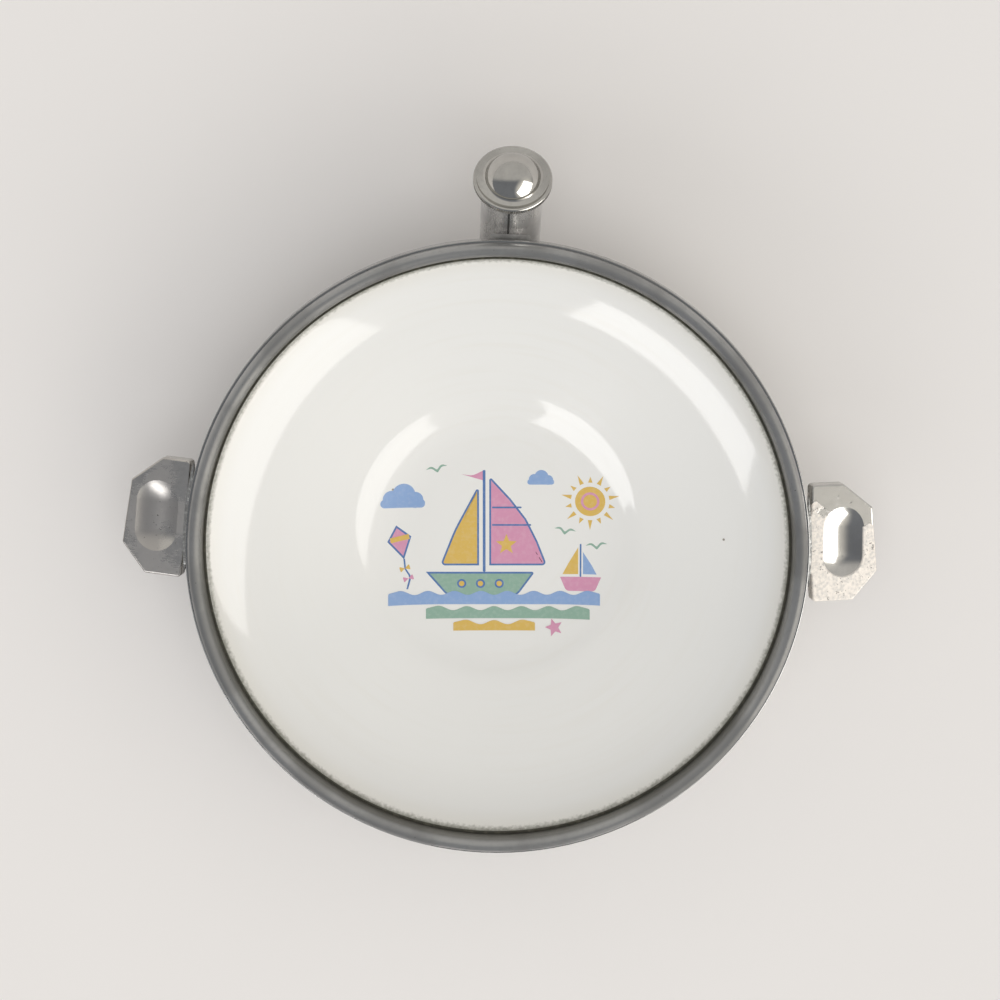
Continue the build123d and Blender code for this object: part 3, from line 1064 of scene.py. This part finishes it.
    def sea(self) -> list[Shape]:
        """Three strips of sea and a starfish."""
        return [
            Shape(Ink.BLUE, wave(62.0, 3.4, 8), -32.0, -20.2, layer=4),
            Shape(Ink.SAGE, wave(48.0, 3.0, 6), -21.0, -24.4, layer=5),
            Shape(Ink.YELLOW, wave(24.0, 2.4, 3), -13.0, -28.0, layer=6),
            Shape(Ink.PINK, star(2.7, 1.2), 16.6, -27.0, 0.3, layer=7),
        ]

    def laid(self, sketch: Sketch, shape: Shape, index: int) -> None:
        """Draws one shape and lays it on the bowl's face.

        Args:
            sketch: Mesh of the shape's ink.
            shape: Shape to lay.
            index: Its number among the shapes of its ink, which keeps their skins apart.
        """
        known = set(sketch.mesh.verts)
        faces = sketch.fill(shape.outline, shape.shrink)
        shift = Matrix.Translation(Vector((shape.across, shape.up, 0.0)) * MM)
        place = Matrix.Rotation(PHOTO_TURN, 4, "Z") @ shift @ Matrix.Rotation(shape.turn, 4, "Z")
        points = [point for point in sketch.mesh.verts if point not in known]
        bmesh.ops.transform(sketch.mesh, matrix=place, verts=points)
        bmesh.ops.triangulate(sketch.mesh, faces=faces)
        count = int(self.half_wide / self.grid)
        for direction in (Vector((1.0, 0.0, 0.0)), Vector((0.0, 1.0, 0.0))):
            for line in range(-count, count + 1):
                points = [point for point in sketch.mesh.verts if point not in known]
                edges = list({edge for point in points for edge in point.link_edges})
                faces = list({face for point in points for face in point.link_faces})
                bmesh.ops.bisect_plane(sketch.mesh, geom=points + edges + faces, dist=MERGE,
                                       plane_co=direction * line * self.grid * MM, plane_no=direction)
        lift = self.rise * (1 + shape.layer) + self.step * index
        points = [point for point in sketch.mesh.verts if point not in known]
        for point in points:
            point.co.z = (self.bowl.height(point.co.xy.length / MM) + lift) * MM
        faces = list({face for point in points for face in point.link_faces})
        bmesh.ops.solidify(sketch.mesh, geom=faces, thickness=self.skin * MM)

    def build(self) -> None:
        """Prints every shape, one piece for each ink."""
        shapes = self.sky() + self.kite() + self.boat() + self.dinghy() + self.sea()
        for ink in Ink:
            sketch = Sketch()
            for index, shape in enumerate(shape for shape in shapes if shape.ink is ink):
                self.laid(sketch, shape, index)
            name = f"ink_{ink.name.lower()}"
            sketch.piece(name, PrintInk(name, *ink.value).material(), Body.DISH)


def skyward(bearing: float, zenith: float) -> Vector:
    """Direction of a place in the sky, from its bearing in the photograph and its angle from straight up."""
    fall, bear = math.radians(zenith), math.radians(bearing) + PHOTO_TURN
    return Vector((math.sin(fall) * math.cos(bear), math.sin(fall) * math.sin(bear), math.cos(fall)))


@dataclass(frozen=True)
class Glow:
    """Paler part of the room, full within its inner angle from its middle and gone at its outer one."""

    bearing: float
    zenith: float
    inner: float
    outer: float
    colour: Rgb


@dataclass(frozen=True)
class Window:
    """Lamp over part of the sky, in degrees as seen from the dish, with its levels as seen and as light."""

    name: str
    bearing: float
    zenith: float
    wide: float
    high: float
    seen: float
    cast: float
    colour: Rgb
    shown_in: tuple[str, ...] = ()
    away: float = 8.0

    def hang(self, level: float, mirrored: bool) -> None:
        """Hangs one lamp.

        Args:
            level: Brightness of its face.
            mirrored: Whether it is mirrored in the named pieces, or else only lights matt surfaces.
        """
        name = self.name + ("_seen" if mirrored else "_cast")
        data = bpy.data.lights.new(name, "AREA")
        data.shape = "RECTANGLE"
        data.size = 2 * self.away * math.tan(math.radians(self.wide) / 2)
        data.size_y = 2 * self.away * math.tan(math.radians(self.high) / 2)
        data.energy = level * data.size * data.size_y * math.pi
        data.color = self.colour
        light = added(name, data)
        light.visible_glossy = mirrored
        light.visible_diffuse = not mirrored
        out = skyward(self.bearing, self.zenith)
        turned = out.to_track_quat("Z", "Y").to_matrix().to_4x4()
        light.matrix_world = Matrix.Translation(out * self.away) @ turned
        if mirrored:
            shown = bpy.data.collections.new(f"{self.name}_shown_in")
            for made in bpy.data.objects:
                if made.name.startswith(self.shown_in):
                    shown.objects.link(made)
            light.light_linking.receiver_collection = shown

    def build(self) -> None:
        """Hangs the lamp that only gives light and the one that is mirrored, where its level isn't zero."""
        for level, mirrored in ((self.cast, False), (self.seen, True)):
            if level:
                self.hang(level, mirrored)


@dataclass
class Studio:
    """Floor, lights, room and the camera of the photograph."""

    distance: float = 0.900
    tilt: float = math.radians(11.22)
    aim_height: float = 0.0470
    lens: float = 113.8
    sensor: float = 36.0
    shift: Span = (0.0025, 0.0526)
    floor_radius: float = 6.0
    walls: Rgb = (0.24, 0.25, 0.27)
    glows: tuple[Glow, ...] = (
        Glow(90.0, 90.0, 75.5, 93.0, (0.66, 0.645, 0.62)),
        Glow(-30.0, 60.0, 20.0, 46.0, (1.0, 0.96, 0.88)),
    )
    windows: tuple[Window, ...] = (
        Window("left_window", -127.0, 48.5, 34.0, 17.0, 4.5, 0.0, (1.0, 0.99, 0.98),
               ("bowl_", "ink_", "handle_left", "jacket")),
        Window("right_window", -32.0, 63.0, 56.0, 48.0, 3.2, 0.0, (1.0, 0.985, 0.96),
               ("bowl_", "ink_", "handle_", "cap_", "jacket", "spout_tube")),
        Window("front_fill", -101.0, 58.0, 100.0, 50.0, 0.0, 1.0, (1.0, 0.995, 0.985)),
        Window("overhead", 0.0, 2.0, 38.0, 38.0, 0.0, 1.45, (1.0, 1.0, 1.0)),
    )

    def build(self) -> None:
        """Makes everything round the dish."""
        self.make_floor()
        self.make_camera()
        for window in self.windows:
            window.build()
        self.make_room()
        bpy.context.scene.view_settings.view_transform = "Standard"

    def make_floor(self) -> None:
        """Lays a wide round floor at the height of the dish's base."""
        mesh = bpy.data.meshes.new("floor")
        sketch = bmesh.new()
        bmesh.ops.create_circle(sketch, cap_ends=True, segments=96, radius=self.floor_radius)
        sketch.to_mesh(mesh)
        sketch.free()
        mesh.materials.append(Tabletop().material())
        added("floor", mesh)

    def make_camera(self) -> None:
        """Places the camera almost straight above the dish, tipped towards the filler neck."""
        fall = math.sin(self.tilt)
        back = Vector((-fall * math.sin(PHOTO_TURN), fall * math.cos(PHOTO_TURN), math.cos(self.tilt)))
        right = Vector((math.cos(PHOTO_TURN), math.sin(PHOTO_TURN), 0.0))
        rows = Matrix((right, back.cross(right), back)).transposed().to_4x4()
        place = Vector((0, 0, self.aim_height)) + back * self.distance
        camera = added("camera", bpy.data.cameras.new("camera"))
        camera.matrix_world = Matrix.Translation(place) @ rows
        camera.data.sensor_width = self.sensor
        camera.data.lens = self.lens
        camera.data.shift_x, camera.data.shift_y = self.shift
        bpy.context.scene.camera = camera

    def make_room(self) -> None:
        """Paints the room round the dish: dim walls with paler parts."""
        world = bpy.data.worlds.new("room")
        bpy.context.scene.world = world
        world.use_nodes = True
        nodes = Nodes(world.node_tree, "Generated")
        colour: Rgb | Socket = self.walls
        for glow in self.glows:
            facing = nodes.reach(skyward(glow.bearing, glow.zenith))
            low, high = math.cos(math.radians(glow.outer)), math.cos(math.radians(glow.inner))
            colour = nodes.blend(nodes.remap(facing, low, high, 0.0, 1.0), colour, glow.colour)
        nodes.feed(world.node_tree.nodes["Background"].inputs["Color"], colour)


def main() -> None:
    """Builds the dish's looks in order."""
    logging.basicConfig(level=logging.INFO, format="%(name)s: %(message)s")
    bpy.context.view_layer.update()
    bowl = Bowl()
    for assembly in (bowl, Rim(), Jacket(), FillerNeck(), ScrewCap(), ThumbTabs(), Picture(bowl), Studio()):
        assembly.build()


if __name__ == "__main__":
    main()
